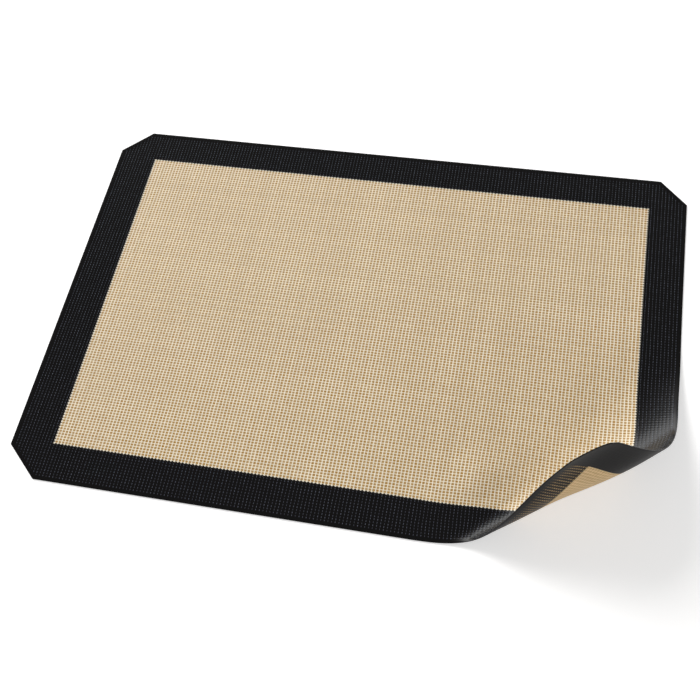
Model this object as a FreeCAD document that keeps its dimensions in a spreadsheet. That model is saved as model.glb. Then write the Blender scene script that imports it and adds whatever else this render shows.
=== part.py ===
"""Half-sheet baking mat: woven glass cloth between two silicone coats, one corner curled up.

Lengths are millimetres. X runs along the length, Y away from the near edge, Z up.
The origin is the middle of the underside. The curled corner is near and right.
"""
import FreeCAD
import Part
import Sketcher
import math
import os

LENGTH = 420.0
DEPTH = 295.0
COAT_UNDER = 0.25
CLOTH = 0.30
COAT_TOP = 0.25
RIM = 1.2
# Each corner is cut off: first the leg along the length, then the leg along the depth.
CUT_LONG = {"near_right": 22.0, "far_right": 18.5, "far_left": 20.0, "near_left": 23.0}
CUT_DEEP = {"near_right": 20.5, "far_right": 19.0, "far_left": 19.5, "near_left": 21.5}
TOP_MARGINS = {"left": 28.0, "right": 25.0, "far": 25.0, "near": 26.0}
# How much wider the border is on the underside than on the top.
UNDER_WIDER = {"left": -1.0, "right": 1.0, "far": -6.0, "near": -5.0}
UNDER_MARGINS = {side: TOP_MARGINS[side] + UNDER_WIDER[side] for side in TOP_MARGINS}

# The bend lines of the curled corner fan out from a point just outside the near edge.
FAN_ACROSS = 123.4
FAN_OUT = 8.0
# How far from the near edge the first bend line meets the right edge.
CURL_RISE = 148.8
CURL_ANGLE = 103.2
# Of the way from the first bend line to the window's corner: where the second and the last bend line lie.
SECOND_SHARE = 0.284
LAST_SHARE = 0.864
# Clear space between neighbouring strips at a bend line.
DIVISION = 0.10
BENDS = 6

doc = FreeCAD.newDocument("baking_mat")
sheet = doc.addObject("Spreadsheet::Sheet", "Sizes")

sizes = {
    "mat_length": LENGTH,
    "mat_depth": DEPTH,
    "coat_under": COAT_UNDER,
    "cloth_thickness": CLOTH,
    "coat_top": COAT_TOP,
    "rim_width": RIM,
    "fan_across": FAN_ACROSS,
    "fan_out": FAN_OUT,
    "curl_rise": CURL_RISE,
    "curl_angle": CURL_ANGLE,
    "second_share": SECOND_SHARE,
    "last_share": LAST_SHARE,
    "division": DIVISION,
}
for corner in CUT_LONG:
    sizes["cut_long_" + corner] = CUT_LONG[corner]
    sizes["cut_deep_" + corner] = CUT_DEEP[corner]
for side in TOP_MARGINS:
    sizes["top_" + side] = TOP_MARGINS[side]
    sizes["wider_" + side] = UNDER_WIDER[side]
    sizes["under_" + side] = "=top_%s + wider_%s" % (side, side)
for row, (alias, value) in enumerate(sizes.items(), start=1):
    sheet.set("A%d" % row, alias)
    sheet.set("B%d" % row, str(value))
    sheet.setAlias("B%d" % row, alias)
doc.recompute()

HALF_LENGTH = "Sizes.mat_length / 2"
HALF_DEPTH = "Sizes.mat_depth / 2"
INSET = "Sizes.rim_width"
ABOVE_UNDER = "Sizes.coat_under"
ABOVE_CLOTH = "Sizes.coat_under + Sizes.cloth_thickness"
THICKNESS = "(Sizes.coat_under + Sizes.cloth_thickness + Sizes.coat_top)"
SIDES = ("Horizontal", "Vertical", "Horizontal", "Vertical")
# Cut corners in the order of the outline, with the way each cut runs along X and along Y.
CORNERS = (("near_right", 1, 1), ("far_right", -1, 1), ("far_left", -1, -1), ("near_left", 1, -1))


def inset_leg(leg, other, gap):
    """Length of one leg of a cut corner when the whole outline moves inwards."""
    return leg - gap * (leg + other - math.hypot(leg, other)) / other


def inset_leg_expression(leg, other):
    """The same length for the sheet."""
    slant = "sqrt(%s ^ 2 + %s ^ 2)" % (leg, other)
    return "%s - %s * (%s + %s - %s) / %s" % (leg, INSET, leg, other, slant, other)


class Outline:
    """Closed loops of one flat sketch, with every size bound to the sheet."""

    def __init__(self, body, name, height):
        plane = [item for item in body.Origin.OriginFeatures if item.Role == "XY_Plane"][0]
        self.sketch = body.newObject("Sketcher::SketchObject", name)
        self.sketch.AttachmentSupport = [(plane, "")]
        self.sketch.MapMode = "FlatFace"
        self.sketch.setExpression("AttachmentOffset.Base.z", height)

    def loop(self, points):
        """Add a closed polyline and return the number of its first line."""
        first = self.sketch.GeometryCount
        total = len(points)
        for i in range(total):
            start = FreeCAD.Vector(*points[i], 0)
            end = FreeCAD.Vector(*points[(i + 1) % total], 0)
            self.sketch.addGeometry(Part.LineSegment(start, end), False)
        for i in range(total):
            following = first + (i + 1) % total
            self.sketch.addConstraint(Sketcher.Constraint("Coincident", first + i, 2, following, 1))
        return first

    def bind(self, kind, place, expression, value):
        """Add a distance between two points and bind it to the sheet."""
        number = self.sketch.addConstraint(Sketcher.Constraint(kind, *place, value))
        name = "size_%d" % number
        self.sketch.renameConstraint(number, name)
        self.sketch.setExpression("Constraints." + name, expression)

    def octagon(self, inset):
        """The mat's outline with its cut corners, or the same outline moved inwards by the rim."""
        gap = RIM if inset else 0.0
        less = " - " + INSET if inset else ""
        long_legs = {name: inset_leg(CUT_LONG[name], CUT_DEEP[name], gap) for name in CUT_LONG}
        deep_legs = {name: inset_leg(CUT_DEEP[name], CUT_LONG[name], gap) for name in CUT_LONG}
        x = LENGTH / 2 - gap
        y = DEPTH / 2 - gap
        first = self.loop([
            (-x + long_legs["near_left"], -y),
            (x - long_legs["near_right"], -y),
            (x, -y + deep_legs["near_right"]),
            (x, y - deep_legs["far_right"]),
            (x - long_legs["far_right"], y),
            (-x + long_legs["far_left"], y),
            (-x, y - deep_legs["far_left"]),
            (-x, -y + deep_legs["near_left"]),
        ])
        for number, direction in enumerate(SIDES):
            self.sketch.addConstraint(Sketcher.Constraint(direction, first + 2 * number))
        for number, (corner, right, up) in enumerate(CORNERS):
            line = first + 2 * number + 1
            rising = (line, 1, line, 2)
            falling = (line, 2, line, 1)
            long_leg = "Sizes.cut_long_" + corner
            deep_leg = "Sizes.cut_deep_" + corner
            across = inset_leg_expression(long_leg, deep_leg) if inset else long_leg
            deep = inset_leg_expression(deep_leg, long_leg) if inset else deep_leg
            self.bind("DistanceX", rising if right > 0 else falling, across, long_legs[corner])
            self.bind("DistanceY", rising if up > 0 else falling, deep, deep_legs[corner])
        self.bind("DistanceY", (first, 1, -1, 1), HALF_DEPTH + less, y)
        self.bind("DistanceX", (-1, 1, first + 2, 1), HALF_LENGTH + less, x)
        self.bind("DistanceY", (-1, 1, first + 4, 1), HALF_DEPTH + less, y)
        self.bind("DistanceX", (first + 6, 1, -1, 1), HALF_LENGTH + less, x)

    def window(self, face, margins):
        """The square-cornered field inside the border of one face."""
        left = -LENGTH / 2 + margins["left"]
        right = LENGTH / 2 - margins["right"]
        near = -DEPTH / 2 + margins["near"]
        far = DEPTH / 2 - margins["far"]
        first = self.loop([(left, near), (right, near), (right, far), (left, far)])
        for number, direction in enumerate(SIDES):
            self.sketch.addConstraint(Sketcher.Constraint(direction, first + number))
        edge = " - Sizes." + face + "_"
        self.bind("DistanceX", (first, 1, -1, 1), HALF_LENGTH + edge + "left", -left)
        self.bind("DistanceX", (-1, 1, first + 1, 1), HALF_LENGTH + edge + "right", right)
        self.bind("DistanceY", (first, 1, -1, 1), HALF_DEPTH + edge + "near", -near)
        self.bind("DistanceY", (-1, 1, first + 2, 1), HALF_DEPTH + edge + "far", far)


def pad(body, outline, name, thickness):
    """Raise an outline into a layer of the bound thickness."""
    feature = body.newObject("PartDesign::Pad", name)
    feature.Profile = outline.sketch
    feature.setExpression("Length", thickness)
    doc.recompute()
    return feature


cloth = doc.addObject("PartDesign::Body", "glass_cloth_layer")
cloth_outline = Outline(cloth, "cloth_outline", ABOVE_UNDER)
cloth_outline.octagon(True)
pad(cloth, cloth_outline, "cloth_pad", "Sizes.cloth_thickness")

field_under = doc.addObject("PartDesign::Body", "field_under_layer")
field_under_outline = Outline(field_under, "field_under_outline", "0")
field_under_outline.window("under", UNDER_MARGINS)
pad(field_under, field_under_outline, "field_under_pad", "Sizes.coat_under")

field_top = doc.addObject("PartDesign::Body", "field_top_layer")
field_top_outline = Outline(field_top, "field_top_outline", ABOVE_CLOTH)
field_top_outline.window("top", TOP_MARGINS)
pad(field_top, field_top_outline, "field_top_pad", "Sizes.coat_top")

border_under = doc.addObject("PartDesign::Body", "border_under_layer")
border_under_outline = Outline(border_under, "border_under_outline", "0")
border_under_outline.octagon(False)
border_under_outline.window("under", UNDER_MARGINS)
pad(border_under, border_under_outline, "border_under_pad", "Sizes.coat_under")

# The top border is a rim that closes the cloth's cut edge and a flange over the cloth.
border_top = doc.addObject("PartDesign::Body", "border_top_layer")
rim_outline = Outline(border_top, "rim_outline", ABOVE_UNDER)
rim_outline.octagon(False)
rim_outline.octagon(True)
pad(border_top, rim_outline, "rim_pad", "Sizes.cloth_thickness")
flange_outline = Outline(border_top, "flange_outline", ABOVE_CLOTH)
flange_outline.octagon(False)
flange_outline.window("top", TOP_MARGINS)
border_top.Tip = pad(border_top, flange_outline, "flange_pad", "Sizes.coat_top")

thickness = COAT_UNDER + CLOTH + COAT_TOP
far_away = LENGTH + DEPTH
fan = FreeCAD.Vector(LENGTH / 2 - FAN_ACROSS, -DEPTH / 2 - FAN_OUT, 0)
# Every strip starts between the fan's point and the near edge, so that it crosses the whole edge.
FAN_START = FAN_OUT / 2


def ray(heading):
    """Unit vector along a bend line."""
    return FreeCAD.Vector(math.cos(math.radians(heading)), math.sin(math.radians(heading)), 0)


def by_line(heading, distance, shift):
    """Point beside a bend line: so far from the fan's point and shifted towards the corner."""
    along = ray(heading)
    return fan + along * distance + FreeCAD.Vector(along.y, -along.x, 0) * shift


def window_corner(margins):
    """The near right corner of one face's window."""
    return FreeCAD.Vector(LENGTH / 2 - margins["right"], -DEPTH / 2 + margins["near"], 0)


def heading_of(point):
    """Heading of a point seen from the fan's point."""
    return math.degrees(math.atan2(point.y - fan.y, point.x - fan.x))


def split_distance(corner, heading, shift):
    """Where a bend line meets the slanting line through a window's corner, inside the window."""
    slant = FreeCAD.Vector(1, 1, 0)
    return (corner - by_line(heading, 0, shift)).dot(slant) / ray(heading).dot(slant)


last_heading = max(heading_of(window_corner(margins)) for margins in (TOP_MARGINS, UNDER_MARGINS))
first_heading = math.degrees(math.atan2(CURL_RISE + FAN_OUT, FAN_ACROSS))
step = (LAST_SHARE - SECOND_SHARE) / (BENDS - 2)
shares = [0.0] + [SECOND_SHARE + step * i for i in range(BENDS - 1)]
headings = [first_heading - share * (first_heading - last_heading) for share in shares]
turn = CURL_ANGLE / BENDS
half = DIVISION / 2


def block(name, corners):
    """A block with the given outline that takes one piece out of a layer."""
    outline = doc.addObject("Part::Polygon", name + "_outline")
    outline.Nodes = [corner - FreeCAD.Vector(0, 0, thickness) for corner in corners]
    outline.Close = True
    solid = doc.addObject("Part::Extrusion", name)
    solid.Base = outline
    solid.DirMode = "Custom"
    solid.Dir = FreeCAD.Vector(0, 0, 1)
    solid.Solid = True
    solid.setExpression("LengthFwd", "3 * " + THICKNESS)
    return solid


def strip_block(name, number, start, end):
    """A block between two bend lines, from and to the given distances on each of them."""
    first = headings[number - 1]
    second = headings[number]
    return block(name, [
        by_line(first, start[0], half),
        by_line(first, end[0], half),
        by_line(second, end[1], -half),
        by_line(second, start[1], -half),
    ])


def lifted(bend_count):
    """Placement of the strip after so many bend lines, each turned about its line on the top face."""
    pivot = fan + FreeCAD.Vector(0, 0, thickness)
    place = FreeCAD.Placement()
    for heading in headings[:bend_count]:
        place = place * FreeCAD.Placement(FreeCAD.Vector(), FreeCAD.Rotation(ray(heading), -turn), pivot)
    return place


pieces = []


def take(node, body, tool, bend_count):
    """One named piece: the part of a layer inside a block, lifted into the curl."""
    piece = doc.addObject("Part::Common", node)
    piece.Base = body
    piece.Tool = tool
    piece.Label = node
    piece.Placement = lifted(bend_count)
    pieces.append(piece)


INNER = (("glass_cloth", cloth), ("field_top", field_top), ("field_under", field_under))
BORDERS = (("border_top", border_top, TOP_MARGINS), ("border_under", border_under, UNDER_MARGINS))

sheet_block = block("sheet_block", [
    by_line(headings[0], -far_away, -half),
    by_line(headings[0], far_away, -half),
    by_line(headings[0], far_away, -far_away),
    by_line(headings[0], -far_away, -far_away),
])
tip_block = block("tip_block", [
    by_line(headings[-1], FAN_START, half),
    by_line(headings[-1], far_away, half),
    by_line(headings[-1], far_away, far_away),
    by_line(headings[-1], FAN_START, far_away),
])
for name, body in INNER + (("border_top", border_top), ("border_under", border_under)):
    take(name + "_sheet", body, sheet_block, 0)
    take(name + "_tip", body, tip_block, BENDS)

close_by = (FAN_START, FAN_START)
beyond = (far_away, far_away)
for number in range(1, BENDS):
    whole_block = strip_block("strip_block_%d" % number, number, close_by, beyond)
    for name, body in INNER:
        take("%s_strip_%d" % (name, number), body, whole_block, number)
    # The window divides a strip's border into a piece at the near edge and one at the right edge.
    for name, body, margins in BORDERS:
        corner = window_corner(margins)
        first_split = split_distance(corner, headings[number - 1], half)
        split = (first_split, split_distance(corner, headings[number], -half))
        near_block = strip_block("%s_near_block_%d" % (name, number), number, close_by, split)
        right_block = strip_block("%s_right_block_%d" % (name, number), number, split, beyond)
        take("%s_near_strip_%d" % (name, number), body, near_block, number)
        take("%s_right_strip_%d" % (name, number), body, right_block, number)

doc.recompute()
for item in doc.Objects:
    if "Invalid" in item.State or "Error" in item.State:
        raise RuntimeError("%s did not build: %s" % (item.Name, item.State))
for piece in pieces:
    if piece.Shape.isNull() or not piece.Shape.isValid() or len(piece.Shape.Solids) != 1:
        raise RuntimeError("%s is not one valid solid" % piece.Label)

os.makedirs("parts", exist_ok=True)
for piece in pieces:
    piece.Shape.exportStep("parts/%s.step" % piece.Label)
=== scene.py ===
"""Dressed model of a coated glass-cloth baking mat that lies flat with one corner curled over."""
import logging
import math
from dataclasses import dataclass, field
from enum import Enum
from typing import Any, Iterable, Sequence

import bmesh
import bpy
import numpy as np
from mathutils import Matrix, Vector


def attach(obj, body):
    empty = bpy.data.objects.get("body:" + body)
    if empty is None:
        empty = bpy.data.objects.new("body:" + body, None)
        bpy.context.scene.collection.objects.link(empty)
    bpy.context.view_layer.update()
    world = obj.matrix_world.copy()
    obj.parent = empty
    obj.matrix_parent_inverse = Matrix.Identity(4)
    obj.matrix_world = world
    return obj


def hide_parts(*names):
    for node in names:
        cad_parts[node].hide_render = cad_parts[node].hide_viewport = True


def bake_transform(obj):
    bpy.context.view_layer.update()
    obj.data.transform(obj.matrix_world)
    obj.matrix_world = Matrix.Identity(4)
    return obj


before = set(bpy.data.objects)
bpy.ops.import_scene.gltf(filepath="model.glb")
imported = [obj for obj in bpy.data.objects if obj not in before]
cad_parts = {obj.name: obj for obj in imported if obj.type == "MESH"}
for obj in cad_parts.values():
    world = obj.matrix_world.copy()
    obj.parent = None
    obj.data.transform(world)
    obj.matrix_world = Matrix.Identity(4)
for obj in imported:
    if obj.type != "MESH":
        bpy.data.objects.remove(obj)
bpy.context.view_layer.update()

LOG = logging.getLogger("baking_mat")
MM = 0.001
ROUND_TURN = 2 * math.pi
FLAT_UV = "flat"
EASE = "ease"
SPECKLE = "speckle"
Colour = tuple[float, float, float, float]


def tint(red: int, green: int, blue: int) -> Colour:
    """Turn a colour seen on screen into the linear values that a shader takes.

    Args:
        red: Red, 0 to 255.
        green: Green, 0 to 255.
        blue: Blue, 0 to 255.

    Returns:
        Linear red, green, blue and an alpha of one.
    """
    linear = [((c / 255 + 0.055) / 1.055) ** 2.4 if c > 10 else c / 255 / 12.92 for c in (red, green, blue)]
    return (linear[0], linear[1], linear[2], 1.0)


class Face(Enum):
    """The four coated faces that show on the mat."""

    TOP_FIELD = "top_field"
    TOP_BORDER = "top_border"
    UNDER_FIELD = "under_field"
    UNDER_BORDER = "under_border"

    @property
    def is_top(self) -> bool:
        """Whether the face looks up when the mat lies flat."""
        return self in (Face.TOP_FIELD, Face.TOP_BORDER)

    @property
    def is_field(self) -> bool:
        """Whether the face is the pale field inside the dark border."""
        return self in (Face.TOP_FIELD, Face.UNDER_FIELD)


class Run(Enum):
    """How much of the border a piece takes in where the mat bends."""

    WHOLE = ""
    NEAR = "near_"
    RIGHT = "right_"


# --- node trees ---


class Value:
    """A number socket of a node tree that can be used in Python expressions."""

    def __init__(self, bench: "Bench", socket: bpy.types.NodeSocket) -> None:
        """Keep the socket and the tree it belongs to."""
        self.bench = bench
        self.socket = socket

    def _math(self, operation: str, *terms: Any) -> "Value":
        """Add one Math node.

        Args:
            operation: The Math node's operation.
            terms: Numbers or values, in the node's order.

        Returns:
            The node's result.
        """
        return self.bench.node("ShaderNodeMath", {"operation": operation}, dict(enumerate(terms)))

    def __add__(self, other: Any) -> "Value":
        """Sum."""
        return self._math("ADD", self, other)

    def __mul__(self, other: Any) -> "Value":
        """Product."""
        return self._math("MULTIPLY", self, other)

    def __sub__(self, other: Any) -> "Value":
        """Difference."""
        return self._math("SUBTRACT", self, other)

    def __rsub__(self, other: Any) -> "Value":
        """Difference from a number."""
        return self._math("SUBTRACT", other, self)

    def __truediv__(self, other: Any) -> "Value":
        """Quotient."""
        return self._math("DIVIDE", self, other)

    def cos(self) -> "Value":
        """Cosine of an angle in radians."""
        return self._math("COSINE", self)

    def sin(self) -> "Value":
        """Sine of an angle in radians."""
        return self._math("SINE", self)

    def floor(self) -> "Value":
        """Whole number below."""
        return self._math("FLOOR", self)

    def part(self) -> "Value":
        """Part after the point."""
        return self._math("FRACT", self)

    def size(self) -> "Value":
        """Distance from zero."""
        return self._math("ABSOLUTE", self)

    def swell(self) -> "Value":
        """Profile of the yarns that this value counts: 1 along a yarn's middle and 0 between two."""
        return 0.5 - (self * ROUND_TURN).cos() * 0.5

    def least(self, other: Any) -> "Value":
        """The smaller of two."""
        return self._math("MINIMUM", self, other)

    def most(self, other: Any) -> "Value":
        """The larger of two."""
        return self._math("MAXIMUM", self, other)

    def ramp(self, low: float, high: float, start: float = 0.0, end: float = 1.0) -> "Value":
        """Ease from one number to another while this value goes from low to high.

        Args:
            low: Where the ease begins.
            high: Where it ends.
            start: The result at and before low.
            end: The result at and after high.

        Returns:
            The eased value.
        """
        return self.bench.node(
            "ShaderNodeMapRange",
            {"interpolation_type": "SMOOTHSTEP"},
            {"Value": self, "From Min": low, "From Max": high, "To Min": start, "To Max": end},
        )


class Bench:
    """Adds nodes to one tree."""

    def __init__(self, tree: bpy.types.NodeTree) -> None:
        """Keep the tree."""
        self.tree = tree

    def node(self, kind: str, settings: dict[str, Any], inputs: dict[Any, Any], out: Any = 0) -> Value:
        """Add a node, set it up and wire it.

        Args:
            kind: The node's type.
            settings: Its properties, which are set first.
            inputs: Socket name or number to a number, colour or value.
            out: The output socket that is wanted.

        Returns:
            That output as a value.
        """
        made = self.tree.nodes.new(kind)
        for name, setting in settings.items():
            setattr(made, name, setting)
        for name, given in inputs.items():
            if isinstance(given, Value):
                self.tree.links.new(given.socket, made.inputs[name])
            else:
                made.inputs[name].default_value = given
        return Value(self, made.outputs[out])

    def blend(self, share: Any, first: Any, second: Any) -> Value:
        """Mix two colours.

        Args:
            share: How much of the second, 0 to 1.
            first: Colour or value.
            second: Colour or value.

        Returns:
            The mixed colour.
        """
        return self.node("ShaderNodeMix", {"data_type": "RGBA"}, {0: share, 6: first, 7: second}, 2)

    def shade(self, colour: Any, light: Value) -> Value:
        """Scale a colour by a value, as more or less light on it would."""
        plain = colour if isinstance(colour, Value) else colour[:3]
        return self.node("ShaderNodeVectorMath", {"operation": "SCALE"}, {0: plain, "Scale": light})

    def parts(self, vector: Value) -> list[Value]:
        """Split a vector into its three numbers."""
        split = self.node("ShaderNodeSeparateXYZ", {}, {0: vector}).socket.node
        return [Value(self, socket) for socket in split.outputs]

    def show(self, shader: Value, kind: str = "ShaderNodeOutputMaterial") -> None:
        """Join a shader to a new output node of its material or world."""
        output = self.tree.nodes.new(kind)
        self.tree.links.new(shader.socket, output.inputs["Surface"])


def empty_bench(owner: bpy.types.Material | bpy.types.World) -> Bench:
    """Clear the nodes of a material or world.

    Args:
        owner: The material or world.

    Returns:
        A bench for its tree.
    """
    owner.use_nodes = True
    owner.node_tree.nodes.clear()
    return Bench(owner.node_tree)


def add_object(name: str, data: bpy.types.ID) -> bpy.types.Object:
    """Put a new object in the scene.

    Args:
        name: Its name.
        data: Its mesh, light or camera.

    Returns:
        The object.
    """
    made = bpy.data.objects.new(name, data)
    bpy.context.scene.collection.objects.link(made)
    return made


def write_mask(mesh: bpy.types.Mesh, name: str, share: np.ndarray) -> None:
    """Store a number at each of a mesh's points.

    Args:
        mesh: The mesh.
        name: The attribute's name.
        share: The numbers, in the points' order.
    """
    mesh.attributes.new(name, "FLOAT", "POINT").data.foreach_set("value", share.astype(np.float32))


# --- the mat's flat pattern ---


@dataclass(frozen=True)
class Window:
    """The pale field's rectangle on the flat mat, in millimetres."""

    left: float
    right: float
    near: float
    far: float

    def holds(self, u: np.ndarray, v: np.ndarray) -> np.ndarray:
        """Tell which points are inside.

        Args:
            u: Places along the mat.
            v: Places across the mat.

        Returns:
            True for each point in the field.
        """
        return (u > self.left) & (u < self.right) & (v > self.near) & (v < self.far)


@dataclass(frozen=True)
class Outline:
    """The mat's edge, in millimetres: a rectangle with its corners cut off.

    Attributes:
        half_long, half_deep: Half the mat's length and depth.
        cuts: For each corner, its side along and across, and the cut's length along and across.
        softened: For each end of the curled corner's cut, its place, the way out and the depth taken off.
    """

    half_long: float = 210.0
    half_deep: float = 147.5
    cuts: tuple[tuple[int, int, float, float], ...] = (
        (1, -1, 22.0, 20.5),
        (1, 1, 18.5, 19.0),
        (-1, 1, 20.0, 19.5),
        (-1, -1, 23.0, 21.5),
    )
    softened: tuple[tuple[float, float, float, float, float], ...] = (
        (210.0, -127.0, 0.917, -0.399, 1.3),
        (188.0, -147.5, 0.366, -0.930, 0.7),
    )

    def cut_lines(self) -> list[tuple[np.ndarray, np.ndarray]]:
        """Give a point on each cut, the softened ends too, and the direction out of the mat."""
        lines = []
        for side_u, side_v, along, across in self.cuts:
            corner = np.array([side_u * self.half_long, side_v * (self.half_deep - across)])
            out = np.array([side_u * across, side_v * along])
            lines.append((corner, out / np.linalg.norm(out)))
        for u, v, out_u, out_v, depth in self.softened:
            out = np.array([out_u, out_v]) / math.hypot(out_u, out_v)
            lines.append((np.array([u, v]) - out * depth, out))
        return lines

    def inside(self, u: np.ndarray, v: np.ndarray) -> np.ndarray:
        """Give each point's distance in from the nearest edge.

        Args:
            u: Places along the mat.
            v: Places across the mat.

        Returns:
            Distances, 0 on the edge.
        """
        depth = np.minimum(self.half_long - np.abs(u), self.half_deep - np.abs(v))
        for point, out in self.cut_lines():
            depth = np.minimum(depth, (point[0] - u) * out[0] + (point[1] - v) * out[1])
        return depth


@dataclass(frozen=True)
class Lattice:
    """Spacing of the cloth's yarns, counted from the near left corner of the pale field."""

    start_u: float = -182.0
    start_v: float = -121.5
    pitch_u: float = 367.0 / 160
    pitch_v: float = 244.0 / 123
    count_u: int = 160
    count_v: int = 123

    def lines(self, start: float, pitch: float, reach: float, per_pitch: int) -> np.ndarray:
        """Give grid lines on the yarns' spacing.

        Args:
            start: A place that has a line.
            pitch: The yarns' spacing.
            reach: The furthest line either way from the middle.
            per_pitch: Lines to each yarn.

        Returns:
            The lines' places in order.
        """
        step = pitch / per_pitch
        first = math.ceil((-reach - start) / step)
        last = math.floor((reach - start) / step)
        return start + step * np.arange(first, last + 1)

    def count(self, u: np.ndarray, v: np.ndarray) -> np.ndarray:
        """Turn flat places into yarn counts, which the finishes read."""
        return np.stack([(u - self.start_u) / self.pitch_u, (v - self.start_v) / self.pitch_v], axis=-1)


# How far the curl carries each point of its control net, in millimetres: a row of points from the near
# edge inwards for each step towards the right edge.
CURL_NET: tuple[tuple[tuple[float, float, float], ...], ...] = (
    (
        (6.1, -3.1, 0.4), (-0.9, 1.1, -1), (-1.1, -1.3, 1.5), (-0.6, 0, -0.8), (-0.6, 0.1, 0.2),
        (-0.2, -0.1, 0.1), (0, -0.1, 0), (0.1, -0.2, 0), (0.1, -0.2, 0),
    ),
    (
        (-10.4, 14, 21.8), (1.1, 1.9, -1.9), (-1.5, 1.3, -1.4), (-1.5, 0.1, 2.6), (-0.6, -0.1, -0.6),
        (-0.2, -0.4, 0.1), (0.1, -0.4, 0), (0.2, -0.4, 0), (0.2, -0.3, 0),
    ),
    (
        (-31.1, 30.4, 36.9), (-10, 5.2, 18.5), (0.8, 0.6, -2.6), (-2, 1.1, -0.9), (-0.3, -1, 0.7),
        (-0.1, -0.7, 0), (0.2, -0.8, 0), (0.2, -0.6, 0), (0.3, -0.4, 0.1),
    ),
    (
        (-40.2, 39.9, 47.1), (-22.2, 17.3, 33.1), (-7.1, 1.7, 15.7), (0.3, -2.7, -1.6), (-0.4, -1.2, 0.3),
        (0.2, -1.5, -0.4), (0.3, -1.2, 0.4), (0.3, -0.8, -0.1), (0.3, -0.5, -0.1),
    ),
    (
        (-47.1, 45.5, 63.8), (-34.3, 30, 46.5), (-19.4, 11.8, 32.4), (-1.8, -3.9, 12.8), (-0.8, -2.2, 3),
        (0.6, -2.4, -0.1), (0.3, -1.6, -0.6), (0.3, -1, 0.5), (0.2, -0.6, 0),
    ),
    (
        (-52.9, 48.9, 77.3), (-44.6, 38.3, 60.4), (-30.9, 24.6, 47.5), (-8.3, 2.5, 30.5),
        (-1.4, -3.7, 11.7), (0.6, -2.4, 5), (0.4, -1.9, 0.5), (0.2, -1.1, -0.9), (0.2, -0.7, 0.4),
    ),
    (
        (-59.6, 52.3, 91.4), (-54.5, 46.6, 77.9), (-43.8, 32.5, 60.2), (-21.7, 11.8, 44.7),
        (-8.2, 1.5, 27.8), (-1.6, -2.3, 12.3), (-1.4, -1.5, 6.1), (0.3, -1.3, 1.1), (0.1, -0.6, -0.4),
    ),
    (
        (-73.9, 60.3, 106.9), (-67.1, 49.3, 92.1), (-53, 34.1, 76.1), (-32.8, 21.1, 62.3),
        (-15.7, 8.4, 44.5), (-5.2, 1, 25.9), (-2.3, -0.9, 14.3), (-0.3, -1.4, 6.5), (0.4, -0.6, -0.7),
    ),
)


@dataclass(frozen=True)
class Spline:
    """Evenly spaced cubic spline weights along one direction of the flat mat, in millimetres."""

    first: float
    pitch: float
    count: int

    def weights(self, place: np.ndarray) -> np.ndarray:
        """Give each control point's weight at each place.

        Args:
            place: Places along the direction.

        Returns:
            A row of weights for each place.
        """
        away = np.abs(self._steps(place))
        middle = 2 / 3 - away**2 + away**3 / 2
        return np.where(away < 1, middle, np.clip(2 - away, 0, None) ** 3 / 6)

    def slopes(self, place: np.ndarray) -> np.ndarray:
        """Give how fast each weight changes, per millimetre."""
        steps = self._steps(place)
        away = np.abs(steps)
        rise = np.where(away < 1, 1.5 * away**2 - 2 * away, -np.clip(2 - away, 0, None) ** 2 / 2)
        return np.sign(steps) * rise / self.pitch

    def _steps(self, place: np.ndarray) -> np.ndarray:
        """Give the distance to each control point in pitches."""
        return (place[:, None] - self.first) / self.pitch - np.arange(self.count)[None, :]


@dataclass(frozen=True)
class Curl:
    """The lifted corner: a smooth net that carries the flat mat, with the bend lines' common point."""

    point_u: float = 86.6
    point_v: float = -155.5
    top: float = 0.8
    begin_u: float = 30.0
    end_v: float = 60.0
    along: Spline = Spline(75.0, 22.5, 8)
    across: Spline = Spline(-170.5556, 23.05556, 9)

    def heading(self, u: np.ndarray, v: np.ndarray) -> np.ndarray:
        """Give each flat point's direction from the bend lines' point, in degrees."""
        return np.degrees(np.arctan2(v - self.point_v, u - self.point_u))

    def lifts(self, u: np.ndarray, v: np.ndarray) -> np.ndarray:
        """Tell which flat points the net can lift."""
        return (u > self.begin_u) & (v < self.end_v)

    def place(self, flat: np.ndarray) -> np.ndarray:
        """Carry flat points onto the curled mat.

        Args:
            flat: Points (u, v, height) in millimetres.

        Returns:
            Points in the frame of the part, in millimetres.
        """
        moved = self.lifts(flat[:, 0], flat[:, 1])
        u, v = flat[moved, 0], flat[moved, 1]
        net = np.array(CURL_NET)
        shift = np.einsum("ni,nj,ijk->nk", self.along.weights(u), self.across.weights(v), net)
        slope_u = np.einsum("ni,nj,ijk->nk", self.along.slopes(u), self.across.weights(v), net)
        slope_v = np.einsum("ni,nj,ijk->nk", self.along.weights(u), self.across.slopes(v), net)
        out = np.cross(slope_u + (1, 0, 0), slope_v + (0, 1, 0))
        out /= np.linalg.norm(out, axis=1)[:, None]
        shift[:, 2] = np.maximum(shift[:, 2], 0)
        curled = flat.copy()
        curled[moved] = np.stack([u, v, np.full(len(u), self.top)], axis=1) + shift
        curled[moved] += (flat[moved, 2] - self.top)[:, None] * out
        return curled


@dataclass(frozen=True)
class Stretch:
    """A part of the mat between two rulings, named with the one body it follows or the two bodies it lies
    between.
    """

    name: str
    bodies: tuple[str, ...]
    from_heading: float = 0.0
    to_heading: float = 0.0

    @property
    def middle_heading(self) -> float:
        """The ruling halfway between the two, in degrees."""
        return (self.from_heading + self.to_heading) / 2

    def ends(self, curl: Curl, distance: float) -> tuple[tuple[float, ...], tuple[float, ...]]:
        """Give the points where the bend begins and ends.

        Args:
            curl: The mat's curl.
            distance: How far from the rulings' point to take them.

        Returns:
            Start and end in metres.
        """
        flat = [
            (
                curl.point_u + distance * math.cos(math.radians(heading)),
                curl.point_v + distance * math.sin(math.radians(heading)),
                curl.top,
            )
            for heading in (self.from_heading, self.to_heading)
        ]
        start, end = curl.place(np.array(flat)) * MM
        return tuple(start), tuple(end)


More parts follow.
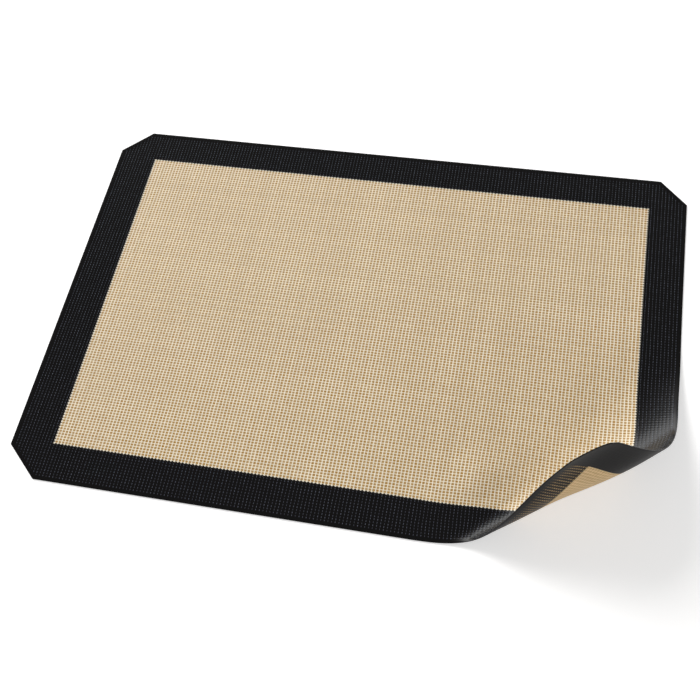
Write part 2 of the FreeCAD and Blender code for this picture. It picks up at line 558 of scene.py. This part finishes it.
# Headings in degrees of the rulings between which the mat bends, and the bodies from flat sheet to tip.
BENDS = (56.5, 47.15, 40.1, 35.4, 30.6, 25.9, 21.0)
CHAIN = ("sheet", "strip_1", "strip_2", "strip_3", "strip_4", "strip_5", "tip")
FLAT, RISE = 0, 1
STRETCHES: tuple[Stretch, ...] = (
    Stretch("main", CHAIN[:1]),
    Stretch("rise", CHAIN[:1]),
) + tuple(Stretch(f"bend_{k}", CHAIN[k - 1 : k + 1], BENDS[k - 1], BENDS[k]) for k in range(1, len(CHAIN)))


def stood_for(face: Face, stretch: Stretch, run: Run) -> list[str]:
    """Name the CAD nodes that a piece stands for.

    Args:
        face: The piece's face of the mat.
        stretch: The part of the mat it covers.
        run: How much of the border it takes in.

    Returns:
        Node names.
    """
    layer = "_".join(reversed(face.value.split("_")))
    end = stretch.bodies[-1]
    if end in ("sheet", "tip") or face.is_field:
        nodes = [f"{layer}_{end}"]
    else:
        nodes = [f"{layer}_{run.value}{end}"]
    if face is Face.TOP_FIELD:
        nodes.append(f"glass_cloth_{end}")
    return nodes


# --- finishes ---


@dataclass(frozen=True)
class Finish:
    """A coated face of the mat. Its patterns follow the yarn counts in the piece's own UV map.

    Attributes:
        name: The material's name.
        gloss: Specular level.
        bump: How far the bump counts.
        roughness: The least roughness, and how much more there is where the coat is dull.
        yarn_height: The bump's height, in metres.
        stray_scale, stray: How quickly and how far the yarns stray, in yarns.
    """

    name: str
    gloss: float = 0.5
    bump: float = 0.3
    roughness: tuple[float, float] = (0.3, 0.1)
    yarn_height: float = 0.00012
    stray_scale: float = 0.31
    stray: float = 0.16

    def begin(self) -> tuple[bpy.types.Material, Bench, Value, Value]:
        """Start the material.

        Returns:
            The material, its bench and the yarn counts along and across the mat.
        """
        material = bpy.data.materials.new(self.name)
        bench = empty_bench(material)
        along, across, _ = bench.parts(bench.node("ShaderNodeUVMap", {"uv_map": FLAT_UV}, {}))
        return material, bench, along, across

    def noise(self, bench: Bench, scale: float, detail: float = 2.0) -> Value:
        """Give cloudy variation, 0 to 1, over the flat mat.

        Args:
            bench: The material's bench.
            scale: Clouds to each yarn.
            detail: How fine it goes.

        Returns:
            The variation.
        """
        place = bench.node("ShaderNodeUVMap", {"uv_map": FLAT_UV}, {})
        sockets = {"Vector": place, "Scale": scale, "Detail": detail}
        return bench.node("ShaderNodeTexNoise", {"noise_dimensions": "2D"}, sockets)

    def each_yarn(self, bench: Bench, count: Value) -> Value:
        """Give every yarn its own number, 0 to 1."""
        return bench.node("ShaderNodeTexWhiteNoise", {"noise_dimensions": "1D"}, {"W": count.floor()})

    def yarns(self, bench: Bench, along: Value, across: Value) -> tuple[Value, Value]:
        """Give the profiles of the warp and the weft, which stray a little from straight."""
        stray = (self.noise(bench, self.stray_scale) - 0.5) * self.stray
        return (along + stray).swell(), (across + stray).swell()

    def end(self, material: bpy.types.Material, bench: Bench, colour: Value, dull: Value,
            height: Value) -> bpy.types.Material:
        """Close the material with its shader.

        Args:
            material: The material.
            bench: Its bench.
            colour: Base colour.
            dull: Where the coat is dull, 0 to 1.
            height: Relief for the bump, in yarn heights.

        Returns:
            The material.
        """
        least, more = self.roughness
        roughness = dull * more + least
        relief = {"Strength": self.bump, "Distance": self.yarn_height, "Height": height}
        bump = bench.node("ShaderNodeBump", {}, relief)
        shader = bench.node(
            "ShaderNodeBsdfPrincipled",
            {},
            {"Base Color": colour, "Roughness": roughness, "Specular IOR Level": self.gloss, "Normal": bump},
        )
        bench.show(shader)
        return material


@dataclass(frozen=True)
class FieldFinish(Finish):
    """Clear silicone over cream glass yarns, with brown dots in the cloth's openings."""

    gloss: float = 0.6
    bump: float = 0.35
    roughness: tuple[float, float] = (0.23, 0.12)
    warp: Colour = tint(248, 239, 219)
    weft: Colour = tint(243, 228, 197)
    dot: Colour = tint(166, 121, 36)
    tooth: Colour = tint(24, 22, 20)
    warp_gap: tuple[float, float] = (0.04, 0.32)
    weft_gap: tuple[float, float] = (0.06, 0.38)
    tooth_slant: float = 0.95
    tooth_root: float = 0.12
    lattice: Lattice = Lattice()

    def make(self) -> bpy.types.Material:
        """Build the finish."""
        material, bench, along, across = self.begin()
        warp, weft = self.yarns(bench, along, across)
        opening = (1 - warp).ramp(*self.warp_gap) * (1 - weft).ramp(*self.weft_gap)
        own = self.each_yarn(bench, along) * 0.07 + self.each_yarn(bench, across + 0.37) * 0.07
        cloud = self.noise(bench, 0.045, 3.0) * 0.10
        colour = bench.blend(warp.ramp(0.25, 0.75), self.weft, self.warp)
        colour = bench.shade(colour, own + cloud + 0.86)
        depth = opening * (self.noise(bench, 0.9) * 0.55 + 0.62)
        colour = bench.blend(depth.least(1.0), colour, self.dot)
        edge_u = along.least(self.lattice.count_u - along)
        edge_v = across.least(self.lattice.count_v - across)
        teeth_u = (across.part() - 0.5).size() * self.tooth_slant + self.tooth_root - edge_u
        teeth_v = (along.part() - 0.5).size() * self.tooth_slant + self.tooth_root - edge_v
        colour = bench.blend(teeth_u.most(teeth_v).ramp(-0.06, 0.06), colour, self.tooth)
        height = warp + weft * 0.8 - opening * 0.6 + self.noise(bench, 3.1) * 0.25
        return self.end(material, bench, colour, opening, height)


@dataclass(frozen=True)
class BorderFinish(Finish):
    """Black silicone that still shows the cloth's yarns, with a painted highlight on their crests, smooth
    along the sealed edge.
    """

    bump: float = 0.42
    roughness: tuple[float, float] = (0.09, 0.05)
    black: Colour = tint(6, 5, 5)
    # Colour of the painted highlight on the yarn crests.
    crest_highlight: Colour = tint(84, 89, 100)

    def make(self) -> bpy.types.Material:
        """Build the finish."""
        material, bench, along, across = self.begin()
        ease = bench.node("ShaderNodeAttribute", {"attribute_name": EASE}, {}, "Fac")
        warp, weft = self.yarns(bench, along, across)
        # Painted highlight: a lighter grey-blue colour on each yarn crest stands in for the glint of light
        # there, made patchy by a noise.
        glint = self.noise(bench, 0.55).ramp(0.42, 0.68)
        crest_highlight = warp.ramp(0.84, 1.0) * weft.ramp(0.2, 0.7) * ease
        colour = bench.blend(crest_highlight * (glint * 0.45 + 0.45), self.black, self.crest_highlight)
        grain = self.noise(bench, 2.7)
        own = self.each_yarn(bench, along) * 0.25 + self.each_yarn(bench, across) * 0.25
        height = ease * (warp + weft * 0.8) * (own + 0.75) + grain * 0.2
        return self.end(material, bench, colour, grain, height)


@dataclass(frozen=True)
class UnderFieldFinish(Finish):
    """Tan silicone on the underside, with a shallower weave and painted shade in the grooves between its
    yarns.
    """

    gloss: float = 0.4
    roughness: tuple[float, float] = (0.48, 0.1)
    tan: Colour = tint(240, 208, 157)
    # Darker tan for the painted shade between the yarns.
    groove_shade: Colour = tint(200, 163, 109)

    def make(self) -> bpy.types.Material:
        """Build the finish."""
        material, bench, along, across = self.begin()
        warp = along.swell()
        weft = across.swell()
        gap = (1 - warp * 0.5 - weft * 0.5 + (self.noise(bench, 1.1) - 0.5) * 0.6).ramp(0.25, 0.85)
        cloud = self.noise(bench, 0.06, 3.0) * 0.14 + self.each_yarn(bench, along) * 0.06
        # The grooves between the yarns take the darker tan as painted shade.
        colour = bench.shade(bench.blend(gap * 0.8, self.tan, self.groove_shade), cloud + 0.9)
        height = warp * 0.4 + weft * 0.4 + self.noise(bench, 2.3) * 0.3
        return self.end(material, bench, colour, gap, height)


@dataclass(frozen=True)
class UnderBorderFinish(Finish):
    """Charcoal silicone on the underside, with the tan showing through in specks beside the field."""

    gloss: float = 0.15
    bump: float = 0.25
    roughness: tuple[float, float] = (0.40, 0.12)
    charcoal: Colour = tint(24, 23, 23)
    speck: Colour = tint(236, 196, 132)

    def make(self) -> bpy.types.Material:
        """Build the finish."""
        material, bench, along, across = self.begin()
        near_field = bench.node("ShaderNodeAttribute", {"attribute_name": SPECKLE}, {}, "Fac")
        middle = bench.node("ShaderNodeCombineXYZ", {}, {0: (along + 0.5).floor(), 1: (across + 0.5).floor()})
        chance = bench.node("ShaderNodeTexWhiteNoise", {"noise_dimensions": "2D"}, {"Vector": middle})
        opening = (1 - along.swell()).ramp(0.55, 0.85) * (1 - across.swell()).ramp(0.6, 0.9)
        specks = (opening * near_field.ramp(0.0, 0.45) * (chance * 0.7 + 0.6)).least(1.0)
        grain = self.noise(bench, 1.9)
        shade = grain * 0.3 + 0.85 - near_field.ramp(0.0, 0.4) * 0.6
        colour = bench.blend(specks, bench.shade(self.charcoal, shade), self.speck)
        height = along.swell() * 0.3 + across.swell() * 0.3 + grain * 0.4
        return self.end(material, bench, colour, grain, height)


@dataclass(frozen=True)
class FloorFinish:
    """Plain white ground that keeps the mat's shadow."""

    white: Colour = (0.80, 0.79, 0.78, 1.0)
    lift: float = 0.53

    def make(self) -> bpy.types.Material:
        """Build the finish."""
        material = bpy.data.materials.new("plain_floor")
        bench = empty_bench(material)
        matt = bench.node("ShaderNodeBsdfDiffuse", {}, {"Color": self.white})
        rays = [bench.node("ShaderNodeLightPath", {}, {}, f"Is {kind} Ray") for kind in
                ("Camera", "Glossy", "Transmission")]
        seen = rays[0].most(rays[1]).most(rays[2])
        glow = bench.node("ShaderNodeEmission", {}, {"Color": (1, 1, 1, 1), "Strength": seen * self.lift})
        bench.show(bench.node("ShaderNodeAddShader", {}, {0: matt, 1: glow}))
        return material


# --- woven relief ---


@dataclass(frozen=True)
class WovenRelief:
    """Geometry Nodes that raise the cloth's yarns out of a flat face."""

    warp_rise: float = 0.11
    weft_rise: float = 0.075
    weave: float = 0.03
    unevenness: float = 0.04
    cloud_scale: float = 0.21
    seed: float = 7.0

    @property
    def height(self) -> float:
        """The most that the relief adds."""
        return self.warp_rise + self.weft_rise + self.weave + self.unevenness

    def sizes(self, lattice: Lattice) -> dict[str, float]:
        """Give the tree's number inputs.

        Args:
            lattice: The yarns' spacing.

        Returns:
            Name to number.
        """
        return {
            "Start Along": lattice.start_u,
            "Start Across": lattice.start_v,
            "Pitch Along": lattice.pitch_u,
            "Pitch Across": lattice.pitch_v,
            "Warp Rise": self.warp_rise,
            "Weft Rise": self.weft_rise,
            "Weave": self.weave,
            "Unevenness": self.unevenness,
            "Seed": self.seed,
        }

    def tree(self, names: Iterable[str]) -> bpy.types.NodeTree:
        """Build the node tree.

        Args:
            names: Names of its number inputs.

        Returns:
            A tree with those inputs and one for the finish.
        """
        tree = bpy.data.node_groups.new("woven_relief", "GeometryNodeTree")
        tree.interface.new_socket("Geometry", in_out="INPUT", socket_type="NodeSocketGeometry")
        tree.interface.new_socket("Geometry", in_out="OUTPUT", socket_type="NodeSocketGeometry")
        for name in names:
            tree.interface.new_socket(name, in_out="INPUT", socket_type="NodeSocketFloat")
        tree.interface.new_socket("Finish", in_out="INPUT", socket_type="NodeSocketMaterial")
        bench = Bench(tree)
        given = tree.nodes.new("NodeGroupInput")
        size = {socket.name: Value(bench, socket) for socket in given.outputs if socket.name}
        place = bench.node("GeometryNodeInputPosition", {}, {})
        along, across, _ = bench.parts(place)
        ease = bench.node("GeometryNodeInputNamedAttribute", {"data_type": "FLOAT"}, {"Name": EASE})
        count_u = (along - size["Start Along"]) / size["Pitch Along"]
        count_v = (across - size["Start Across"]) / size["Pitch Across"]
        warp = count_u.swell() * size["Warp Rise"]
        weft = count_v.swell() * size["Weft Rise"]
        over = (count_u * math.pi).sin() * (count_v * math.pi).sin() * size["Weave"]
        clouds = {"Vector": place, "W": size["Seed"], "Scale": self.cloud_scale}
        uneven = bench.node("ShaderNodeTexNoise", {"noise_dimensions": "4D"}, clouds)
        rise = ease * (warp + weft + over + uneven * size["Unevenness"])
        offset = bench.node("ShaderNodeCombineXYZ", {}, {2: rise})
        moved = bench.node("GeometryNodeSetPosition", {}, {"Geometry": size["Geometry"], "Offset": offset})
        real = bench.node("GeometryNodeRealizeInstances", {}, {"Geometry": moved})
        dressed = bench.node("GeometryNodeSetMaterial", {}, {"Geometry": real, "Material": size["Finish"]})
        result = tree.nodes.new("NodeGroupOutput")
        tree.links.new(dressed.socket, result.inputs[0])
        return tree

    def raise_yarns(self, mesh: bpy.types.Mesh, lattice: Lattice,
                    finish: bpy.types.Material) -> bpy.types.Mesh:
        """Run the tree on a flat face.

        Args:
            mesh: The flat face, in millimetres, with its ease attribute.
            lattice: The yarns' spacing.
            finish: The material that the tree sets.

        Returns:
            A plain mesh with the relief in it.
        """
        holder = add_object("flat_face", mesh)
        sizes = self.sizes(lattice)
        tree = self.tree(sizes)
        modifier = holder.modifiers.new("woven_relief", "NODES")
        modifier.node_group = tree
        given = sizes | {"Finish": finish}
        for item in tree.interface.items_tree:
            if item.in_out == "INPUT" and item.name in given:
                modifier[item.identifier] = given[item.name]
        bpy.context.view_layer.update()
        woven = bpy.data.meshes.new_from_object(holder.evaluated_get(bpy.context.evaluated_depsgraph_get()))
        bpy.data.objects.remove(holder)
        return woven


# --- the sheet ---


@dataclass
class FlatFace:
    """One side of the mat laid flat: points, faces and which part each face belongs to."""

    points: np.ndarray
    faces: list[tuple[int, ...]]
    in_field: np.ndarray
    near: np.ndarray
    stretch: np.ndarray
    inside: np.ndarray

    def chosen(self, face: Face, stretch_number: int, run: Run) -> np.ndarray:
        """Pick a piece's faces.

        Args:
            face: Which face of the mat.
            stretch_number: Which part of the mat.
            run: How much of the border.

        Returns:
            The faces' numbers.
        """
        wanted = (self.in_field == face.is_field) & (self.stretch == stretch_number)
        if run is not Run.WHOLE:
            wanted &= self.near == (run is Run.NEAR)
        return np.nonzero(wanted)[0]


@dataclass
class Mat:
    """The coated sheet with its border, sealed edge and curled corner, in millimetres.

    Attributes:
        middle: Height at which the top and under layers meet.
        rim_rows: The sealed edge's rows, as distances in from the edge.
        rim_drops: How far each row lies below the face.
        ease_over: Distances in from the edge between which the relief begins.
        top_lines, under_lines: Grid lines to each yarn.
        line_gap: Yarn lines closer than this to a fixed line are left out.
        cut_reach: How far in from a cut the faces are divided.
        cut_merge: Points this close to a cut count as on it.
        crease: Angle in degrees above which an edge is sharp.
        speck_reach, speck_lap: How far the specks go out from the tan field, and lap into it.
        speck_end: Where they end along the mat.
        blend_distance: Where a bend of the field takes its width, from the rulings' point.
        near_reach: The same for the near border, as a depth in from that point.
        right_distance: The same for the right border.
    """

    outline: Outline = Outline()
    lattice: Lattice = Lattice()
    curl: Curl = Curl()
    relief: WovenRelief = WovenRelief()
    top_window: Window = Window(-182.0, 185.0, -121.5, 122.5)
    under_window: Window = Window(-183.0, 184.0, -126.5, 128.5)
    middle: float = 0.4
    rim_rows: tuple[float, ...] = (0.0, 0.5, 1.5)
    rim_drops: tuple[float, ...] = (0.17, 0.03, 0.0)
    ease_over: tuple[float, float] = (2.2, 3.2)
    top_lines: int = 2
    under_lines: int = 1
    line_gap: float = 0.35
    cut_reach: float = 4.0
    cut_merge: float = 0.02
    crease: float = 62.0
    speck_reach: float = 19.0
    speck_end: float = 184.0
    speck_lap: float = 0.5
    blend_distance: float = 61.0
    near_reach: float = 14.5
    right_distance: float = 130.0
    pieces: dict[str, bpy.types.Object] = field(default_factory=dict)

    def _grid(self, window: Window, per_pitch: int) -> bpy.types.Mesh:
        """Make the flat face's grid, with lines on the yarns, the window and the sealed edge.

        Args:
            window: The pale field's rectangle.
            per_pitch: Grid lines to each yarn.

        Returns:
            A flat mesh in millimetres.
        """
        sides = (
            (self.outline.half_long, self.lattice.start_u, self.lattice.pitch_u, (window.left, window.right)),
            (self.outline.half_deep, self.lattice.start_v, self.lattice.pitch_v, (window.near, window.far)),
        )
        grid_lines = []
        for half, start, pitch, edges in sides:
            rim = [side * (half - row) for side in (-1, 1) for row in self.rim_rows]
            fixed = np.array(rim + list(edges))
            yarns = self.lattice.lines(start, pitch, half - self.rim_rows[-1], per_pitch)
            clear = np.abs(yarns[:, None] - fixed[None, :]).min(axis=1) > self.line_gap
            grid_lines.append(np.sort(np.concatenate([fixed, yarns[clear]])))
        lines_u, lines_v = grid_lines
        place_u, place_v = np.meshgrid(lines_u, lines_v)
        points = np.stack([place_u.ravel(), place_v.ravel(), np.zeros(place_u.size)], axis=1)
        wide = len(lines_u)
        corner = (np.arange(len(lines_v) - 1)[:, None] * wide + np.arange(wide - 1)[None, :]).ravel()
        quads = np.stack([corner, corner + 1, corner + wide + 1, corner + wide], axis=1)
        mesh = bpy.data.meshes.new("flat_face")
        mesh.from_pydata(points.tolist(), [], quads.tolist())
        self._cut_corners(mesh)
        return mesh

    def _cut_corners(self, mesh: bpy.types.Mesh) -> None:
        """Cut a flat face along the outline's cuts, with the sealed edge's rows beside each.

        Args:
            mesh: The flat face, which is changed.
        """
        work = bmesh.new()
        work.from_mesh(mesh)
        for point, out in self.outline.cut_lines():
            for row in reversed(self.rim_rows):
                near = [f for f in work.faces
                        if (f.calc_center_median().x - point[0]) * out[0]
                        + (f.calc_center_median().y - point[1]) * out[1] > -self.cut_reach]
                around = list({e for f in near for e in f.edges}) + list({v for f in near for v in f.verts})
                bmesh.ops.bisect_plane(
                    work,
                    geom=near + around,
                    dist=self.cut_merge,
                    plane_co=(point[0] - out[0] * row, point[1] - out[1] * row, 0),
                    plane_no=(out[0], out[1], 0),
                    clear_outer=row == 0,
                )
        work.to_mesh(mesh)
        work.free()

    def _ease(self, inside: np.ndarray) -> np.ndarray:
        """Give how far the relief counts: 0 along the sealed edge, 1 inside it.

        Args:
            inside: Distances in from the mat's edge.

        Returns:
            A share for each.
        """
        low, high = self.ease_over
        return np.clip((inside - low) / (high - low), 0, 1)

    def flat_face(self, is_top: bool, finish: bpy.types.Material) -> FlatFace:
        """Make one side of the flat mat.

        Args:
            is_top: Whether it is the woven top.
            finish: A finish for the relief's tree.

        Returns:
            The side, with its faces sorted.
        """
        window = self.top_window if is_top else self.under_window
        mesh = self._grid(window, self.top_lines if is_top else self.under_lines)
        grid = np.array([v.co[:] for v in mesh.vertices])
        write_mask(mesh, EASE, self._ease(self.outline.inside(grid[:, 0], grid[:, 1])))
        if is_top:
            mesh = self.relief.raise_yarns(mesh, self.lattice, finish)
        points = np.array([v.co[:] for v in mesh.vertices])
        faces = [tuple(p.vertices) for p in mesh.polygons]
        middles = np.array([points[list(f), :2].mean(axis=0) for f in faces])
        u, v = middles[:, 0], middles[:, 1]
        past = np.searchsorted(-np.array(BENDS[:-1]), -self.curl.heading(u, v))
        flat = ~self.curl.lifts(u, v)
        bpy.data.meshes.remove(mesh)
        return FlatFace(
            points,
            faces,
            window.holds(u, v),
            v < window.near,
            np.where(flat, FLAT, past + RISE),
            self.outline.inside(points[:, 0], points[:, 1]),
        )

    def _heights(self, side: FlatFace, is_top: bool) -> tuple[np.ndarray, np.ndarray]:
        """Give the outer and the hidden height of a layer at every point.

        Args:
            side: The flat side.
            is_top: Whether it is the top.

        Returns:
            Heights of the face that shows and of the mat's middle.
        """
        drop = np.interp(side.inside, self.rim_rows, self.rim_drops)
        if is_top:
            ease = self._ease(side.inside)
            shown = self.curl.top - drop - ease * self.relief.height + side.points[:, 2]
        else:
            shown = drop
        return shown, np.full(len(drop), self.middle)

    def piece(self, face: Face, stretch_number: int, run: Run, side: FlatFace,
              finish: bpy.types.Material) -> None:
        """Make one closed layer of one part of the mat, tie it to its body where it follows one, and hide the
        CAD nodes it stands for.

        Args:
            face: Which face of the mat.
            stretch_number: Which part of the mat.
            run: How much of the border.
            side: The flat side that the face is on.
            finish: Its material.
        """
        stretch = STRETCHES[stretch_number]
        faces = [side.faces[k] for k in side.chosen(face, stretch_number, run)]
        used = np.unique(np.concatenate([np.array(f) for f in faces]))
        number = {old: new for new, old in enumerate(used)}
        outer = [tuple(number[k] for k in f) for f in faces]
        if not face.is_top:
            outer = [tuple(reversed(f)) for f in outer]
        shown, hidden = self._heights(side, face.is_top)
        flat = side.points[used].copy()
        flat[:, 2] = shown[used]
        inner = side.points[used].copy()
        inner[:, 2] = hidden[used]
        everything, polygons = self._close(flat, inner, outer, stretch_number == FLAT)
        name = f"{face.value}_{run.value}{stretch.name}"
        mesh = bpy.data.meshes.new(name)
        mesh.from_pydata((self.curl.place(everything) * MM).tolist(), [], polygons)
        self._coordinates(mesh, everything, face)
        mesh.materials.append(finish)
        mesh.polygons.foreach_set("use_smooth", np.ones(len(mesh.polygons), bool))
        mesh.set_sharp_from_angle(angle=math.radians(self.crease))
        mesh.update()
        self._hand_over(add_object(name, mesh), face, stretch, run)
        LOG.info("%s: %d faces", name, len(polygons))

    def _close(self, outer: np.ndarray, inner: np.ndarray, faces: list[tuple[int, ...]],
               flat: bool) -> tuple[np.ndarray, list[tuple[int, ...]]]:
        """Give a face its thickness and close it.

        Args:
            outer: Points of the face that shows.
            inner: The same points at the mat's middle.
            faces: The face's polygons, pointing out.
            flat: Whether the hidden side is flat, so that it needs no grid.

        Returns:
            All points and all polygons.
        """
        count = len(outer)
        directed = {(f[k], f[(k + 1) % len(f)]) for f in faces for k in range(len(f))}
        rim = [(a, b) for a, b in directed if (b, a) not in directed]
        rim.sort()
        if not flat:
            walls = [(b, a, a + count, b + count) for a, b in rim]
            backs = [tuple(k + count for k in reversed(f)) for f in faces]
            return np.concatenate([outer, inner]), faces + walls + backs
        at_edge = sorted({k for pair in rim for k in pair})
        below = {old: count + new for new, old in enumerate(at_edge)}
        walls = [(b, a, below[a], below[b]) for a, b in rim]
        fill = bmesh.new()
        corners = {k: fill.verts.new(inner[k]) for k in at_edge}
        back_of = {corner: below[k] for k, corner in corners.items()}
        edges = [fill.edges.new((corners[a], corners[b])) for a, b in rim]
        bmesh.ops.triangle_fill(fill, use_beauty=False, use_dissolve=False, edges=edges)
        up = faces_point_up(outer, faces[0])
        backs = []
        for triangle in fill.faces:
            triangle.normal_update()
            around = [back_of[v] for v in triangle.verts]
            backs.append(tuple(around) if (triangle.normal.z < 0) == up else tuple(reversed(around)))
        fill.free()
        return np.concatenate([outer, inner[at_edge]]), faces + walls + backs

    def _coordinates(self, mesh: bpy.types.Mesh, flat: np.ndarray, face: Face) -> None:
        """Write the yarn counts and the masks that the finish reads.

        Args:
            mesh: The piece's mesh.
            flat: Its points laid flat.
            face: Which face of the mat it is.
        """
        counts = self.lattice.count(flat[:, 0], flat[:, 1])
        corners = np.zeros(len(mesh.loops), np.int32)
        mesh.loops.foreach_get("vertex_index", corners)
        layer = mesh.uv_layers.new(name=FLAT_UV)
        layer.data.foreach_set("uv", counts[corners].astype(np.float32).ravel())
        write_mask(mesh, EASE, self._ease(self.outline.inside(flat[:, 0], flat[:, 1])))
        if face is Face.UNDER_BORDER:
            below = self.under_window.near - flat[:, 1]
            beside = (below > -self.speck_lap) & (flat[:, 0] < self.speck_end)
            close = np.clip(1 - below / self.speck_reach, 0, 1) * beside
            write_mask(mesh, SPECKLE, close)

    def _hand_over(self, made: bpy.types.Object, face: Face, stretch: Stretch, run: Run) -> None:
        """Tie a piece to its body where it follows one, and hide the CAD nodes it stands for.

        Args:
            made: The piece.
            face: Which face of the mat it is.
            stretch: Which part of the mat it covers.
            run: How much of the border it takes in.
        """
        if len(stretch.bodies) == 1:
            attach(made, stretch.bodies[0])
        else:
            start, end = stretch.ends(self.curl, self._bend_distance(stretch, run))
            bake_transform(made)
        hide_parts(*stood_for(face, stretch, run))
        self.pieces[made.name] = made

    def _bend_distance(self, stretch: Stretch, run: Run) -> float:
        """Give how far from the rulings' point a bend is as wide as the part of the mat it turns.

        Args:
            stretch: The part of the mat.
            run: How much of the border.

        Returns:
            The distance, short beside the near edge, where the rulings run together.
        """
        if run is Run.NEAR:
            return self.near_reach / math.sin(math.radians(stretch.middle_heading))
        return self.right_distance if run is Run.RIGHT else self.blend_distance

    def build(self) -> None:
        finishes = {
            Face.TOP_FIELD: FieldFinish("cream_field").make(),
            Face.TOP_BORDER: BorderFinish("black_border").make(),
            Face.UNDER_FIELD: UnderFieldFinish("tan_underside").make(),
            Face.UNDER_BORDER: UnderBorderFinish("charcoal_underside").make(),
        }
        for is_top in (True, False):
            faces = [face for face in Face if face.is_top == is_top]
            side = self.flat_face(is_top, finishes[faces[0]])
            for face in faces:
                for number in range(len(STRETCHES)):
                    split = number > RISE and not face.is_field
                    for run in (Run.NEAR, Run.RIGHT) if split else (Run.WHOLE,):
                        self.piece(face, number, run, side, finishes[face])
        self._declare()

    def _declare(self) -> None:
        window = self.top_window
        flat = ((window.right - window.left) * MM, (window.far - window.near) * MM)
        lifted = (window.right - self.curl.begin_u) * (self.curl.end_v - window.near) * MM * MM
        area = flat[0] * flat[1] - lifted


def faces_point_up(points: np.ndarray, polygon: tuple[int, ...]) -> bool:
    """Tell whether a polygon faces up.

    Args:
        points: The mesh's points.
        polygon: One polygon's corners.

    Returns:
        True where its corners run anticlockwise seen from above.
    """
    a, b, c = (points[k] for k in polygon[:3])
    return float(np.cross(b - a, c - b)[2]) > 0


# --- ground, light and camera ---


@dataclass(frozen=True)
class Lamp:
    """A soft light panel, aimed at the mat, which doesn't mirror in its gloss."""

    name: str
    place: tuple[float, float, float]
    aim: tuple[float, float, float]
    width: float
    power: float
    colour: tuple[float, float, float] = (1.0, 1.0, 1.0)

    def light(self) -> None:
        """Hang the lamp."""
        data = bpy.data.lights.new(self.name, "AREA")
        data.shape = "SQUARE"
        data.size = self.width
        data.energy = self.power
        data.color = self.colour
        lamp = add_object(self.name, data)
        lamp.visible_glossy = False
        lamp.location = self.place
        lamp.rotation_euler = (Vector(self.aim) - Vector(self.place)).to_track_quat("-Z", "Y").to_euler()


@dataclass(frozen=True)
class Studio:
    """Floor, soft light and camera."""

    floor_half: float = 6.0
    floor_level: float = -0.0001
    sky_low: float = 0.9
    sky_high: float = 0.15
    sky_band: tuple[float, float] = (0.25, 0.78)
    wall: float = 1.3
    wall_way: tuple[float, float] = (-0.82, 0.57)
    wall_width: tuple[float, float] = (0.55, 0.95)
    wall_top: tuple[float, float] = (0.30, 0.50)
    lamps: tuple[Lamp, ...] = (Lamp("key", (-2.35, 2.2, 2.1), (0.0, 0.0, 0.0), 1.8, 148.0),)
    eye: tuple[float, float, float] = (0.10726, -0.37620, 0.61769)
    look: tuple[float, float, float] = (-0.18285, 0.48545, -0.85493)
    upward: tuple[float, float, float] = (-0.12698, 0.85064, 0.51018)
    sensor: float = 36.0
    lens: float = 55.30
    shift: float = 0.0484
    clip: tuple[float, float] = (0.01, 50.0)

    def build(self) -> None:
        """Set up everything around the mat."""
        self._floor()
        self._world()
        for lamp in self.lamps:
            lamp.light()
        self._camera()
        bpy.context.scene.view_settings.view_transform = "Standard"

    def _floor(self) -> None:
        """Lay the floor."""
        half = self.floor_half
        mesh = bpy.data.meshes.new("floor")
        corners = [(-half, -half), (half, -half), (half, half), (-half, half)]
        mesh.from_pydata([(x, y, self.floor_level) for x, y in corners], [], [(0, 1, 2, 3)])
        mesh.materials.append(FloorFinish().make())
        floor = add_object("floor", mesh)

    def _world(self) -> None:
        """Light the room from pale walls, with a darker ceiling."""
        world = bpy.data.worlds.new("room")
        bench = empty_bench(world)
        along, across, height = bench.parts(bench.node("ShaderNodeTexCoord", {}, {}, "Generated"))
        towards = along * self.wall_way[0] + across * self.wall_way[1]
        wall = towards.ramp(*self.wall_width) * height.ramp(*self.wall_top, self.wall, 0.0)
        level = height.ramp(*self.sky_band, self.sky_low, self.sky_high) + wall
        glow = bench.node("ShaderNodeBackground", {}, {"Color": (1, 1, 1, 1), "Strength": level})
        bench.show(glow, "ShaderNodeOutputWorld")
        bpy.context.scene.world = world

    def _camera(self) -> None:
        """Stand the camera where the picture was taken from."""
        data = bpy.data.cameras.new("camera")
        data.sensor_width = self.sensor
        data.lens = self.lens
        data.shift_x = self.shift
        data.clip_start, data.clip_end = self.clip
        look = Vector(self.look).normalized()
        right = look.cross(Vector(self.upward)).normalized()
        upward = right.cross(look)
        turn = Matrix((right, upward, -look)).transposed()
        camera = add_object("camera", data)
        camera.matrix_world = Matrix.Translation(self.eye) @ turn.to_4x4()
        bpy.context.scene.camera = camera


def main() -> None:
    """Build the mat, then the studio round it."""
    logging.basicConfig(level=logging.INFO)
    mat = Mat()
    mat.build()
    LOG.info("mat: %d pieces", len(mat.pieces))
    Studio().build()


if __name__ == "__main__":
    main()
